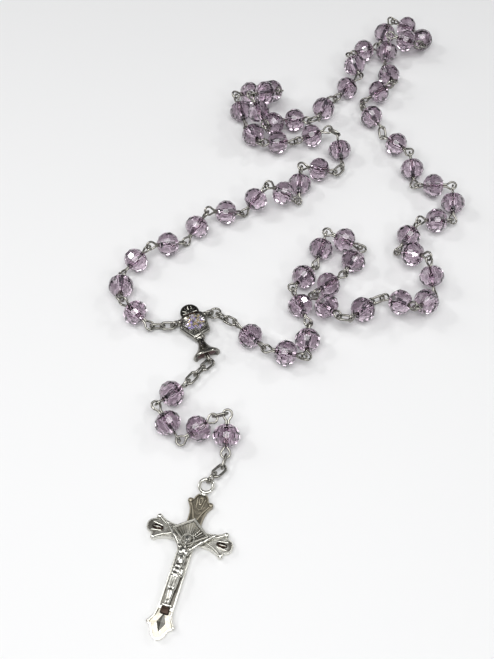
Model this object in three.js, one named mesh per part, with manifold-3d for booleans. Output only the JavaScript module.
// A rosary of faceted crystal beads, laid down loosely on a table.
// Five decades of ten beads and four larger-spaced beads make a loop that starts and ends at a
// chalice-shaped centre. A short pendant of four beads hangs from the centre and ends in a crucifix.
// Every bead sits on a wire pin with an eye at each end, and the eyes hook into each other.
// Millimetres, +Z up, the table is z = 0, and +Y points from the crucifix towards the loop.

import * as THREE from 'three';
import { mergeVertices } from 'three/addons/utils/BufferGeometryUtils.js';
import Module from 'manifold-3d';

const wasm = await Module();
wasm.setup();

// ---------------------------------------------------------------- driving dimensions

const BEAD_RADIUS = 4.0;
const BEAD_LENGTH = 6.6;
const BEAD_FLAT_RADIUS = 1.9;
const BEAD_GIRDLE = 0.9;
const BEAD_SIDES = 8;
const BORE_RADIUS = 0.8;

const BEAD_PITCH = 13;
const LINK_PITCH = 3.3;
const RING_PITCH = 2.7;

const PIN_WIRE = 0.4;
const LINK_WIRE = 0.3;
const RING_WIRE = 0.35;
const EYE_RADIUS = 1.35;
const LINK_HALF_WIDTH = 1.2;
const HOOK = 1.1;
const ROLL_STEPS = 18;
const UPRIGHT_PREFERENCE = 0.05;
const LAST_WIRE_WEIGHT = 4;
const EYE_TO_FACE = (BEAD_PITCH - BEAD_LENGTH) / 2 + 0.4;
const KNOT_RADIUS = 1.3;
const KNOT_WIRE = 0.55;
const BLOB_RADIUS = 0.95;
const WIRE_SIDES = 4;
const EYE_STEPS = 7;
const RING_STEPS = 10;

const CUP_RADIUS = 4.1;
const FOOT_RADIUS = 4.2;
const RIM_Y = 14.6;
const CHALICE_DEPTH = 0.72;
const CHALICE_LEVEL = 1.5;
const CHALICE_SIDES = 16;
const CHALICE_BASE = new THREE.Vector3(-27.09, -32, 0);
const CHALICE_TURN = THREE.MathUtils.degToRad(21);
const BAIL_Y = 14.2;
const BAIL_X = 5.6;
const BAIL_WIRE = 0.45;
const BAIL_LEVEL = 1.9;
const LOWER_BAIL_Y = -1.15;
const HOST_RADIUS = 3.0;
const HOST_THICKNESS = 0.9;
const HOST_Y = 16.5;
const GAP = 0.3;

const CROSS_CENTRE = new THREE.Vector3(-30.69, -88.55, 0);
const CROSS_TURN = THREE.MathUtils.degToRad(-16.4);
const CROSS_THICKNESS = 1.8;
const ARM_LENGTH = 12.5;
const TOP_LENGTH = 12.9;
const FOOT_LENGTH = 28.6;
const CROSS_HALF_WIDTH = 2.1;
const FLARE_HALF_WIDTH = 3.7;
const CROSS_LOOP_Y = 15.1;
const CROSS_LOOP_RADIUS = 2.0;
const CROSS_LOOP_WIDTH = 0.42;
const CROSS_LOOP_WIRE = 0.42;
const CROSS_LOOP_LEVEL = 1.75;
const CROSS_HOOK_LEVEL = 2.2;

const SILVER = { color: 0x8d8a80, roughness: 0.35, metalness: 1 };
const BRIGHT_SILVER = { color: 0xb5b2a6, roughness: 0.3, metalness: 1 };
const CRYSTAL = { color: 0xb9a8b8, roughness: 0.05, metalness: 0 };

// ---------------------------------------------------------------- where the beads lie

// The place of every bead on the loop, from the centre's left side round to its right side: one row
// for each decade, and one spaced bead between two decades. A third number lifts a bead that lies on
// others; the rest lie on the table.
const DECADES = [
  [[-36, 4], [-39.5, 14], [-36.5, 23.5], [-26.5, 30], [-16.5, 37], [-6, 44.5], [4.5, 49.5],
    [13, 51.5], [19, 57.5], [24, 63]],
  [[22, 72.5], [12.5, 76], [4.5, 79], [0, 91], [2, 99.5], [8.5, 93], [4, 90, 9.5],
    [4, 80, 10.5], [10, 85.5], [17.5, 85]],
  [[36.5, 97.5], [38.5, 111.5], [45.5, 121], [54, 129], [61.5, 132], [66.5, 126.5], [59.5, 123, 7],
    [53.5, 118], [54, 109], [47.5, 99.5]],
  [[53, 73], [57.5, 62.5], [64, 55], [70.5, 47.5], [63, 39], [54.5, 32.5], [54, 25], [58, 16.5],
    [54, 9], [44.5, 7]],
  [[27, 5], [28.5, 13], [33.5, 24], [32, 33], [25.5, 28.5], [22.5, 18], [19.5, 6], [20.5, -6.5],
    [13, -10.5], [2, -4.5]],
];
const SPACED_BEADS = [[31, 70], [26, 91.5], [45.5, 86.5], [34, 4.5]];
const PENDANT_BEADS = [[-22.5, -24.5], [-23, -34.5], [-14.5, -35], [-6, -38.5]];

// How far a piece may fold against the one before it. Two links in a row stand square to each other,
// so where one fold is free the next one is stiff.
const COMMON_FOLD = THREE.MathUtils.degToRad(50);
const FREE_FOLD = THREE.MathUtils.degToRad(115);
const STIFF_FOLD = THREE.MathUtils.degToRad(22);

const UP = new THREE.Vector3(0, 0, 1);

// The origin is the middle of the laid-out rosary; the bead places are measured from the point
// below the crook of the loop.
const MIDDLE_X = 14.79;
const MIDDLE_Y = 21.5;

// A point given in the frame of the flat-lying chalice or crucifix, taken to the table's frame.
const onChalice = (x, y, z) => new THREE.Vector3(x, y, z).applyAxisAngle(UP, CHALICE_TURN)
  .add(CHALICE_BASE);
const onCross = (x, y, z) => new THREE.Vector3(x, y, z).applyAxisAngle(UP, CROSS_TURN)
  .add(CROSS_CENTRE);

// The wires of the centre and the crucifix that the first and last eyes hook onto.
const LEFT_HOOK = onChalice(-BAIL_X - EYE_RADIUS, BAIL_Y, BAIL_LEVEL);
const RIGHT_HOOK = onChalice(BAIL_X + EYE_RADIUS, BAIL_Y, BAIL_LEVEL);
const LOWER_HOOK = onChalice(0, LOWER_BAIL_Y - EYE_RADIUS, BAIL_LEVEL);
const CROSS_HOOK = onCross(0, CROSS_LOOP_Y + CROSS_LOOP_RADIUS - HOOK, CROSS_HOOK_LEVEL);

const bead = ([x, y, z = BEAD_RADIUS]) => ({
  kind: 'bead',
  length: BEAD_PITCH,
  lies: [x - MIDDLE_X, y - MIDDLE_Y, z],
});
const link = (fold) => ({ kind: 'link', length: LINK_PITCH, fold });
const ring = (fold) => ({ kind: 'ring', length: RING_PITCH, fold });

const fusedLink = () => ({ kind: 'link', length: LINK_PITCH, isFused: true });
const spacedBead = (place) => ({ ...bead(place), isSpaced: true });

const loopPieces = [link(), link()];
DECADES.forEach((decade, i) => {
  loopPieces.push(...decade.map(bead));
  if (i < SPACED_BEADS.length) loopPieces.push(fusedLink(), spacedBead(SPACED_BEADS[i]), fusedLink());
});
loopPieces.push(link(), link(), ring());

const pendantPieces = [link(), link(), link(), ...PENDANT_BEADS.slice(0, 3).map(bead), link(STIFF_FOLD),
  { ...bead(PENDANT_BEADS[3]), fold: FREE_FOLD }, link(STIFF_FOLD), link(FREE_FOLD), ring(STIFF_FOLD)];

// ---------------------------------------------------------------- laying the chain down

const SETTLE_ROUNDS = 6000;
const FREE_ROUNDS = 1500;
const BEAD_SPACING = 2 * BEAD_RADIUS + 0.35;
const EYE_TO_BEAD = BEAD_RADIUS + 1.7;
const EYE_SPACING = 3.4;
const LOWEST_EYE = 1.9;
const LOWEST_BEAD = BEAD_RADIUS + 0.12;

const movable = (points, i) => i > 0 && i < points.length - 1;

function shift(points, i, step) {
  if (movable(points, i)) points[i].add(step);
}

// Pulls two neighbouring hooks to exactly one piece's length apart.
function keepLength(points, i, length) {
  const step = points[i + 1].clone().sub(points[i]);
  const stretch = step.length() - length;
  const share = movable(points, i) && movable(points, i + 1) ? 0.5 : 1;
  step.setLength(stretch * share);
  shift(points, i, step);
  shift(points, i + 1, step.negate());
}

// A link can't fold flat against its neighbour.
function keepOpen(points, i, pieces) {
  const [a, b] = [pieces[i].length, pieces[i + 1].length];
  if (pieces[i].lies && pieces[i + 1].lies) return;
  const nearest = Math.sqrt(a * a + b * b + 2 * a * b * Math.cos(pieces[i + 1].fold ?? COMMON_FOLD));
  keepApart(points, [i], [i + 2], nearest);
}

// Two balls on the chain, each carried by one or two hooks, are pushed apart where they meet.
function keepApart(points, a, b, spacing) {
  const middle = (carriers) => points[carriers[0]].clone().add(points[carriers[carriers.length - 1]])
    .multiplyScalar(0.5);
  const step = middle(a).sub(middle(b));
  const missing = spacing - step.length();
  if (missing <= 0) return;
  step.setLength(missing * 0.5);
  a.forEach((i) => shift(points, i, step));
  step.negate();
  b.forEach((i) => shift(points, i, step));
}

// Finds where the chain comes to lie: each bead as near its place as the lengths of the pieces allow,
// no two beads or eyes in the same space, and nothing below the table.
function layChain(pieces, start, end) {
  const places = pieces.map((piece) => piece.lies && new THREE.Vector3(...piece.lies));
  const points = firstGuess(pieces, places, start, end);
  const beads = pieces.map((piece, i) => i).filter((i) => places[i]);
  for (let round = 0; round < SETTLE_ROUNDS; round += 1) {
    const pull = Math.max(0, 0.3 * (1 - round / (SETTLE_ROUNDS - FREE_ROUNDS)));
    for (const i of beads) {
      const miss = places[i].clone().sub(points[i]).add(places[i].clone().sub(points[i + 1]));
      miss.multiplyScalar(0.5 * pull);
      shift(points, i, miss);
      shift(points, i + 1, miss);
    }
    separate(points, beads);
    for (let i = 0; i < pieces.length - 1; i += 1) keepOpen(points, i, pieces);
    for (let i = 0; i < pieces.length; i += 1) keepLength(points, i, pieces[i].length);
    for (let i = pieces.length - 1; i >= 0; i -= 1) keepLength(points, i, pieces[i].length);
  }
  return points;
}

function firstGuess(pieces, places, start, end) {
  const known = [{ at: 0, point: start }];
  places.forEach((place, i) => {
    if (place) known.push({ at: i + 0.5, point: place });
  });
  known.push({ at: pieces.length, point: end });
  return Array.from({ length: pieces.length + 1 }, (_, i) => {
    const after = known.findIndex((entry, k) => k > 0 && entry.at >= i);
    const [low, high] = [known[after - 1], known[after]];
    return low.point.clone().lerp(high.point, (i - low.at) / (high.at - low.at));
  });
}

function separate(points, beads) {
  for (const i of beads) {
    for (const j of beads) {
      if (j > i) keepApart(points, [i, i + 1], [j, j + 1], BEAD_SPACING);
    }
    for (let j = 0; j < points.length; j += 1) {
      if (j < i - 1 || j > i + 2) keepApart(points, [i, i + 1], [j], EYE_TO_BEAD);
    }
    const low = LOWEST_BEAD - 0.5 * (points[i].z + points[i + 1].z);
    if (low > 0) [i, i + 1].forEach((k) => shift(points, k, new THREE.Vector3(0, 0, low)));
  }
  for (let i = 0; i < points.length; i += 1) {
    for (let j = i + 4; j < points.length; j += 1) keepApart(points, [i], [j], EYE_SPACING);
    if (points[i].z < LOWEST_EYE) shift(points, i, new THREE.Vector3(0, 0, LOWEST_EYE - points[i].z));
  }
}

const loopPoints = layChain(loopPieces, LEFT_HOOK, RIGHT_HOOK);
const pendantPoints = layChain(pendantPieces, LOWER_HOOK, CROSS_HOOK);

// ---------------------------------------------------------------- solids

function toSolid(geometry) {
  const bare = geometry.index ? geometry.toNonIndexed() : geometry.clone();
  bare.deleteAttribute('normal');
  bare.deleteAttribute('uv');
  const merged = mergeVertices(bare, 1e-4);
  const vertProperties = Float32Array.from(merged.attributes.position.array);
  const triVerts = Uint32Array.from(merged.index.array);
  return new wasm.Manifold(new wasm.Mesh({ numProp: 3, vertProperties, triVerts }));
}

function toGeometry(solid) {
  const mesh = solid.getMesh();
  const geometry = new THREE.BufferGeometry();
  geometry.setAttribute('position', new THREE.BufferAttribute(Float32Array.from(mesh.vertProperties), 3));
  geometry.setIndex(new THREE.BufferAttribute(Uint32Array.from(mesh.triVerts), 1));
  geometry.computeVertexNormals();
  return geometry;
}

const join = (geometries) => geometries.map(toSolid).reduce((whole, solid) => whole.add(solid));

// Places a shape made around the origin: its X runs along one direction and its Z along another.
function aim(geometry, along, normal, centre) {
  const x = along.clone().normalize();
  const z = normal.clone().addScaledVector(x, -normal.dot(x)).normalize();
  const y = z.clone().cross(x);
  geometry.applyMatrix4(new THREE.Matrix4().makeBasis(x, y, z).setPosition(centre));
  return geometry;
}

const wireLoop = (radius, wire, steps) => new THREE.TorusGeometry(radius, wire, WIRE_SIDES, steps);

// A straight wire between two points.
function wireBar(from, to, wire) {
  const run = to.clone().sub(from);
  const geometry = new THREE.CylinderGeometry(wire, wire, run.length(), WIRE_SIDES);
  geometry.rotateZ(-Math.PI / 2);
  const side = Math.abs(run.z) > 0.9 * run.length() ? new THREE.Vector3(1, 0, 0) : UP;
  return aim(geometry, run, side, from.clone().lerp(to, 0.5));
}

// A faceted crystal bead: short along its hole, with a flat round each end of the hole.
function beadShape(bore) {
  const half = BEAD_LENGTH / 2;
  const outside = [[BEAD_FLAT_RADIUS, -half], [BEAD_RADIUS, -BEAD_GIRDLE], [BEAD_RADIUS, BEAD_GIRDLE],
    [BEAD_FLAT_RADIUS, half]];
  const inside = [[bore, -half], [bore, half]];
  const profile = [inside[0], ...outside, inside[1]];
  if (bore > 0) profile.push(inside[0]);
  const geometry = new THREE.LatheGeometry(profile.map(([r, y]) => new THREE.Vector2(r, y)), BEAD_SIDES);
  return geometry.rotateZ(-Math.PI / 2);
}

// ---------------------------------------------------------------- the branches of the chain

// A branch runs outwards from the centre. Each piece carries an eye over the hook at its start and
// a wire across the hook at its end, and wires[i] is the direction of the wire at hook i.
function makeBranch(points, pieces, firstWire, lastWire = null) {
  const runs = pieces.map((piece, i) => points[i + 1].clone().sub(points[i]).normalize());
  const wires = [firstWire];
  pieces.forEach((piece, i) => {
    const eye = { runs, pieces, start: i + 1, lastWire };
    const rolls = piece.lies || (piece.isFused && pieces[i - 1].isSpaced);
    wires.push(rolls ? squarestWire(eye) : wireAfterLink(wires[i], runs[i]));
  });
  return { points, pieces, runs, wires };
}

// A link turns the wire by a right angle, in its own plane.
function wireAfterLink(wire, run) {
  const square = wire.clone().addScaledVector(run, -wire.dot(run)).normalize();
  return square.cross(run);
}

// A pin's end eye is rolled about its pin so that the pieces up to the next pin cross its wire and
// each other's as squarely as they can. Of two equal rolls the upright one is taken.
function squarestWire({ runs, pieces, start, lastWire }) {
  const along = runs[start - 1];
  const level = UP.clone().cross(along).normalize();
  const upright = along.clone().cross(level);
  let best = { slant: Infinity, wire: upright };
  for (let step = 0; step < ROLL_STEPS; step += 1) {
    const wire = upright.clone().applyAxisAngle(along, (Math.PI * step) / ROLL_STEPS);
    let slant = UPRIGHT_PREFERENCE * (1 - wire.dot(upright) ** 2);
    let crossing = wire;
    for (let i = start; i < pieces.length; i += 1) {
      slant += crossing.dot(runs[i]) ** 2;
      if (pieces[i].lies || pieces[i].isFused) break;
      crossing = wireAfterLink(crossing, runs[i]);
      if (i === pieces.length - 1 && lastWire) slant += LAST_WIRE_WEIGHT * (1 - crossing.dot(lastWire) ** 2);
    }
    if (slant < best.slant) best = { slant, wire };
  }
  return best.wire;
}

const OPEN_PIECE = 2 + 10 + 3 + 10 + 2;
const leftBranch = makeBranch(loopPoints.slice(0, OPEN_PIECE + 1), loopPieces.slice(0, OPEN_PIECE), UP);
const rightBranch = makeBranch(loopPoints.slice(OPEN_PIECE).reverse(),
  loopPieces.slice(OPEN_PIECE).reverse(), UP);
const pendant = makeBranch(pendantPoints, pendantPieces, UP, UP);

const alongRun = (branch, i, hook, distance) => branch.points[hook].clone()
  .addScaledVector(branch.runs[i], distance);

// The eye that piece i hangs by at its start, and the eye that it holds out at its end.
function startEye(branch, i) {
  const centre = alongRun(branch, i, i, EYE_RADIUS - HOOK);
  return [
    aim(wireLoop(EYE_RADIUS, PIN_WIRE, EYE_STEPS), branch.runs[i], branch.wires[i], centre),
    wireBar(alongRun(branch, i, i, 2 * EYE_RADIUS - HOOK), alongRun(branch, i, i, EYE_TO_FACE), PIN_WIRE),
  ];
}

function endEye(branch, i) {
  const normal = branch.runs[i].clone().cross(branch.wires[i + 1]);
  return [
    aim(wireLoop(EYE_RADIUS, PIN_WIRE, EYE_STEPS), branch.runs[i], normal,
      alongRun(branch, i, i + 1, -EYE_RADIUS)),
    wireBar(alongRun(branch, i, i + 1, -EYE_TO_FACE), alongRun(branch, i, i + 1, -2 * EYE_RADIUS), PIN_WIRE),
  ];
}

// Inside a node that holds two beads, their two hooked eyes are one knot between two bars.
function middleEyes(branch, i) {
  const hook = branch.points[i + 1];
  return [
    new THREE.OctahedronGeometry(KNOT_RADIUS).translate(hook.x, hook.y, hook.z),
    wireBar(alongRun(branch, i, i + 1, -EYE_TO_FACE), hook, KNOT_WIRE),
    wireBar(hook, alongRun(branch, i + 1, i + 1, EYE_TO_FACE), KNOT_WIRE),
  ];
}

function beadOf(branch, i, bore) {
  const centre = branch.points[i].clone().lerp(branch.points[i + 1], 0.5);
  return aim(beadShape(bore), branch.runs[i], UP, centre);
}

function pinOf(branch, i) {
  const face = BEAD_LENGTH / 2 + 0.4;
  const centre = branch.points[i].clone().lerp(branch.points[i + 1], 0.5);
  const end = (side) => centre.clone().addScaledVector(branch.runs[i], side * face);
  return [...startEye(branch, i), wireBar(end(-1), end(1), PIN_WIRE), ...endEye(branch, i)];
}

// Moves the two halves of a round loop apart along X, which leaves two straight sides between them.
function stretchLoop(geometry, distance) {
  const position = geometry.attributes.position;
  for (let k = 0; k < position.count; k += 1) {
    position.setX(k, position.getX(k) + Math.sign(position.getX(k)) * distance);
  }
  return geometry;
}

// An oval chain link or a round jump ring: its start bow lies a hook's width before the hook.
function linkOf(branch, i, short = 0) {
  const piece = branch.pieces[i];
  const halfLength = (piece.length + HOOK - short) / 2;
  const isRing = piece.kind === 'ring';
  const wire = isRing ? RING_WIRE : LINK_WIRE;
  const halfWidth = isRing ? halfLength : LINK_HALF_WIDTH;
  const geometry = stretchLoop(wireLoop(halfWidth, wire, RING_STEPS), halfLength - halfWidth);
  const normal = branch.runs[i].clone().cross(branch.wires[i + 1]);
  return aim(geometry, branch.runs[i], normal, alongRun(branch, i, i, halfLength - HOOK));
}

// The solder blob that holds a fused chain link to its pin.
function blobAt(branch, hook) {
  const centre = alongRun(branch, hook, hook, -HOOK / 2);
  return new THREE.OctahedronGeometry(BLOB_RADIUS).translate(centre.x, centre.y, centre.z);
}

// ---------------------------------------------------------------- the centre

const CHALICE_PROFILE = [[0, 0], [3.9, 0], [4.2, 0.6], [3.9, 1.2], [2.1, 2.2], [1.2, 4], [0.95, 6.4],
  [1.5, 6.8], [1.5, 7.6], [1.1, 8.1], [2.6, 9], [3.7, 10.8], [4.1, 12.8], [CUP_RADIUS, RIM_Y],
  [0, RIM_Y]];
const PANEL_Y = 11.1;
const PANEL_HALF_WIDTH = 2.9;
const PANEL_HALF_HEIGHT = 1.9;
const PANEL_LEVEL = 3.0;
const MOUTH_FLOOR_Y = 13.2;
const MOUTH_HALF_WIDTH = 2.8;
const MOUTH_LOW = 1.1;
const MOUTH_HIGH = 2.9;

function turnedChalice() {
  const profile = CHALICE_PROFILE.map(([r, y]) => new THREE.Vector2(r, y));
  const turned = new THREE.LatheGeometry(profile, CHALICE_SIDES);
  return toSolid(turned.scale(1, 1, CHALICE_DEPTH).translate(0, 0, CHALICE_LEVEL));
}

const blockBetween = (low, high) => new THREE.BoxGeometry(
  high[0] - low[0],
  high[1] - low[1],
  high[2] - low[2],
).translate((low[0] + high[0]) / 2, (low[1] + high[1]) / 2, (low[2] + high[2]) / 2);

// An upright oval column over the front of the cup, from one level up to clear of the cup.
function panelColumn(grow, level) {
  const column = new THREE.CylinderGeometry(1, 1, 4, CHALICE_SIDES).rotateX(Math.PI / 2);
  column.scale(PANEL_HALF_WIDTH + grow, PANEL_HALF_HEIGHT + grow, 1);
  return toSolid(column.translate(0, PANEL_Y, level + 2));
}

function chaliceSolid() {
  const aboveTable = toSolid(blockBetween([-9, -5, 0], [9, 20, 9]));
  const bail = (x, y) => wireLoop(EYE_RADIUS, BAIL_WIRE, EYE_STEPS).rotateX(Math.PI / 2)
    .translate(x, y, BAIL_LEVEL);
  const lowerBail = wireLoop(EYE_RADIUS, BAIL_WIRE, EYE_STEPS).rotateY(Math.PI / 2)
    .translate(0, LOWER_BAIL_Y, BAIL_LEVEL);
  const mouth = blockBetween([-MOUTH_HALF_WIDTH, MOUTH_FLOOR_Y, MOUTH_LOW],
    [MOUTH_HALF_WIDTH, RIM_Y + 1, MOUTH_HIGH]);
  return turnedChalice()
    .add(join([bail(-BAIL_X, BAIL_Y), bail(BAIL_X, BAIL_Y), lowerBail]))
    .intersect(aboveTable)
    .subtract(toSolid(mouth))
    .subtract(panelColumn(GAP, PANEL_LEVEL - GAP));
}

const panelSolid = () => turnedChalice().intersect(panelColumn(0, PANEL_LEVEL));

function hostSolid() {
  const middle = (MOUTH_LOW + MOUTH_HIGH) / 2;
  const disc = new THREE.CylinderGeometry(HOST_RADIUS, HOST_RADIUS, HOST_THICKNESS, CHALICE_SIDES);
  return toSolid(disc.rotateX(Math.PI / 2).translate(0, HOST_Y, middle));
}

// ---------------------------------------------------------------- the crucifix

const END_LOBE_RADIUS = 1.9;
const CORNER_SETBACK = 2.4;
const SLOT_HALF_WIDTH = 0.55;
const SLOT_LENGTH = 3.2;
const PLAQUE_HALF_WIDTH = 5.0;
const PLAQUE_TOP = 4.6;
const PLAQUE_BOTTOM = -2.8;
const PLAQUE_THICKNESS = 0.6;
const LOZENGE_Y = -23.6;
const LOZENGE_HALF_WIDTH = 1.5;
const LOZENGE_HALF_LENGTH = 3.0;
const LOZENGE_HEIGHT = 0.9;

// One arm of the cross, drawn along +Y: a straight shank that flares to two corners and a round lobe.
function armOutline(length) {
  const corner = length - CORNER_SETBACK;
  const shape = new THREE.Shape();
  shape.moveTo(-CROSS_HALF_WIDTH, 0);
  shape.lineTo(CROSS_HALF_WIDTH, 0);
  shape.lineTo(CROSS_HALF_WIDTH, corner * 0.45);
  shape.quadraticCurveTo(CROSS_HALF_WIDTH, corner * 0.75, FLARE_HALF_WIDTH, corner - 0.6);
  shape.lineTo(FLARE_HALF_WIDTH - 0.3, corner + 0.5);
  shape.lineTo(END_LOBE_RADIUS, corner + 0.5);
  shape.absarc(0, length - END_LOBE_RADIUS, END_LOBE_RADIUS, 0, Math.PI, false);
  shape.lineTo(-END_LOBE_RADIUS, corner + 0.5);
  shape.lineTo(-FLARE_HALF_WIDTH + 0.3, corner + 0.5);
  shape.lineTo(-FLARE_HALF_WIDTH, corner - 0.6);
  shape.quadraticCurveTo(-CROSS_HALF_WIDTH, corner * 0.75, -CROSS_HALF_WIDTH, corner * 0.45);
  return shape;
}

// An arm that only flares over its last part, turned to its direction, with its slot cut through.
function armSolid(length, turn, slotted) {
  const plate = new THREE.ExtrudeGeometry(armOutline(length),
    { depth: CROSS_THICKNESS, bevelEnabled: false, curveSegments: 4 });
  let solid = toSolid(plate);
  if (slotted) {
    const slot = new THREE.CylinderGeometry(SLOT_HALF_WIDTH, SLOT_HALF_WIDTH, 6, 8).rotateX(Math.PI / 2);
    slot.scale(1, SLOT_LENGTH / (2 * SLOT_HALF_WIDTH), 1).translate(0, length - SLOT_LENGTH, 0);
    solid = solid.subtract(toSolid(slot));
  }
  return solid.rotate([0, 0, turn]);
}

function crossSolid() {
  const loop = new THREE.TorusGeometry(CROSS_LOOP_RADIUS, CROSS_LOOP_WIDTH, 4, RING_STEPS);
  loop.rotateZ(Math.PI / RING_STEPS).scale(1, 1, CROSS_LOOP_WIRE / CROSS_LOOP_WIDTH);
  loop.translate(0, CROSS_LOOP_Y, CROSS_LOOP_LEVEL);
  const lozenge = new THREE.ConeGeometry(1, LOZENGE_HEIGHT, 4).rotateX(Math.PI / 2);
  lozenge.scale(LOZENGE_HALF_WIDTH, LOZENGE_HALF_LENGTH, 1);
  lozenge.translate(0, LOZENGE_Y, CROSS_THICKNESS + LOZENGE_HEIGHT / 2 - 0.1);
  return armSolid(TOP_LENGTH, 0, false)
    .add(armSolid(ARM_LENGTH, 90, true))
    .add(armSolid(ARM_LENGTH, -90, true))
    .add(armSolid(FOOT_LENGTH, 180, false))
    .add(join([loop, lozenge]));
}

function plaqueSolid() {
  const shape = new THREE.Shape();
  const middle = (PLAQUE_TOP + PLAQUE_BOTTOM) / 2;
  shape.moveTo(0, PLAQUE_BOTTOM);
  shape.lineTo(PLAQUE_HALF_WIDTH, middle);
  shape.lineTo(0, PLAQUE_TOP);
  shape.lineTo(-PLAQUE_HALF_WIDTH, middle);
  const plate = new THREE.ExtrudeGeometry(shape, { depth: PLAQUE_THICKNESS, bevelEnabled: false });
  return toSolid(plate.translate(0, 0, CROSS_THICKNESS + GAP));
}

// The figure, drawn flat above the cross: head, body, cloth, legs, foot rest and two raised arms.
function figureSolid() {
  const at = (x, y, z) => new THREE.Vector3(x, y, z);
  const limb = (from, to, radius) => wireBar(from, to, radius);
  const head = new THREE.IcosahedronGeometry(1.15, 1).translate(0, -1.9, 4.3);
  const cloth = blockBetween([-1.35, -12.4, 2.2], [1.35, -9.2, 4.1]);
  const footRest = blockBetween([-1.3, -20, 2.1], [1.3, -18.4, 3.4]);
  return join([
    head,
    limb(at(0, -4, 3.3), at(0, -2, 4.1), 0.5),
    limb(at(0, -3.3, 3.4), at(0, -9.6, 3.3), 1.25),
    cloth,
    limb(at(-0.6, -12.1, 3.2), at(-0.45, -18.8, 2.9), 0.65),
    limb(at(0.6, -12.1, 3.2), at(0.45, -18.8, 2.9), 0.65),
    footRest,
    limb(at(-0.9, -4, 3.6), at(-6.3, 1.3, 3.6), 0.5),
    limb(at(0.9, -4, 3.6), at(6.3, 1.3, 3.6), 0.5),
  ]);
}

// ---------------------------------------------------------------- the assembly

const group = new THREE.Group();

function addMesh(name, geometry, finish, motion) {
  const mesh = new THREE.Mesh(geometry, new THREE.MeshStandardMaterial(finish));
  mesh.name = name;
  mesh.userData = motion;
  group.add(mesh);
  return name;
}

// Two beads on their hooked pins, as one node; hinged at the first pin's hook.
function addPair(name, branch, i, parent) {
  const solid = join([
    ...startEye(branch, i), beadOf(branch, i, 0), ...middleEyes(branch, i),
    beadOf(branch, i + 1, 0), ...endEye(branch, i + 1),
  ]);
  return addMesh(name, toGeometry(solid), CRYSTAL, { parent, branch, hook: i });
}

// A single bead that turns on a pin of its own, with any chain links that are soldered to the pin.
function addBeadAndPin(names, branch, i, parent, linkBefore, linkAfter) {
  const parts = pinOf(branch, i);
  if (linkBefore) parts.push(linkOf(branch, i - 1), blobAt(branch, i));
  if (linkAfter) parts.push(linkOf(branch, i + 1), blobAt(branch, i + 1));
  const hook = linkBefore ? i - 1 : i;
  addMesh(names.pin, toGeometry(join(parts)), SILVER, { parent, branch, hook });
  const beadGeometry = beadOf(branch, i, BORE_RADIUS);
  addMesh(names.bead, toGeometry(toSolid(beadGeometry)), CRYSTAL, { parent: names.pin, branch, spins: i });
  return names.pin;
}

const addLink = (name, branch, i, parent, short) => addMesh(name,
  toGeometry(toSolid(linkOf(branch, i, short))), SILVER, { parent, branch, hook: i });

const twoDigits = (number) => String(number).padStart(2, '0');

// Ten beads as five nodes, counted outwards from the centre; the names keep the prayer order.
function addDecade(decade, branch, first, parent, backwards) {
  let holder = parent;
  for (let pair = 0; pair < 5; pair += 1) {
    const count = backwards ? 10 - 2 * pair : 1 + 2 * pair;
    const next = backwards ? count - 1 : count + 1;
    const name = `decade_${decade}_beads_${twoDigits(count)}_${twoDigits(next)}`;
    holder = addPair(name, branch, first + 2 * pair, holder);
  }
  return holder;
}

const ourFather = (number) => ({ pin: `our_father_pin_${number}`, bead: `our_father_bead_${number}` });

const placeOn = (solid, turn, centre) => toGeometry(solid).rotateZ(turn)
  .translate(centre.x, centre.y, centre.z);
addMesh('chalice', placeOn(chaliceSolid(), CHALICE_TURN, CHALICE_BASE), SILVER, {});
addMesh('crystal_panel', placeOn(panelSolid(), CHALICE_TURN, CHALICE_BASE), CRYSTAL, {});
addMesh('host_disc', placeOn(hostSolid(), CHALICE_TURN, CHALICE_BASE), SILVER, {});

let holder = addLink('left_link_1', leftBranch, 0, 'centre');
holder = addLink('left_link_2', leftBranch, 1, holder);
holder = addDecade(1, leftBranch, 2, holder, false);
holder = addBeadAndPin(ourFather(1), leftBranch, 13, holder, true, true);
holder = addDecade(2, leftBranch, 15, holder, false);
addBeadAndPin(ourFather(2), leftBranch, 26, holder, true, false);

holder = addLink('right_jump_ring', rightBranch, 0, 'centre');
holder = addLink('right_link_1', rightBranch, 1, holder);
holder = addLink('right_link_2', rightBranch, 2, holder);
holder = addDecade(5, rightBranch, 3, holder, true);
holder = addBeadAndPin(ourFather(4), rightBranch, 14, holder, true, true);
holder = addDecade(4, rightBranch, 16, holder, true);
holder = addBeadAndPin(ourFather(3), rightBranch, 27, holder, true, true);
holder = addDecade(3, rightBranch, 29, holder, true);
addLink('closing_link', rightBranch, 39, holder, 2 * HOOK);

holder = addLink('lower_link_1', pendant, 0, 'centre');
holder = addLink('lower_link_2', pendant, 1, holder);
holder = addLink('lower_link_3', pendant, 2, holder);
for (let i = 0; i < 3; i += 1) {
  const names = { pin: `pendant_pin_${i + 1}`, bead: `pendant_bead_${i + 1}` };
  holder = addBeadAndPin(names, pendant, 3 + i, holder, false, false);
}
holder = addLink('pendant_link', pendant, 6, holder);
holder = addBeadAndPin({ pin: 'pendant_pin_4', bead: 'pendant_bead_4' }, pendant, 7, holder, false, false);
holder = addLink('crucifix_link_1', pendant, 8, holder);
holder = addLink('crucifix_link_2', pendant, 9, holder);
holder = addLink('crucifix_jump_ring', pendant, 10, holder);

addMesh('crucifix_cross', placeOn(crossSolid(), CROSS_TURN, CROSS_CENTRE), BRIGHT_SILVER,
  { parent: holder, branch: pendant, hook: 11 });
addMesh('sunburst_plaque', placeOn(plaqueSolid(), CROSS_TURN, CROSS_CENTRE), BRIGHT_SILVER, {});
addMesh('figure', placeOn(figureSolid(), CROSS_TURN, CROSS_CENTRE), BRIGHT_SILVER, {});

export default group;
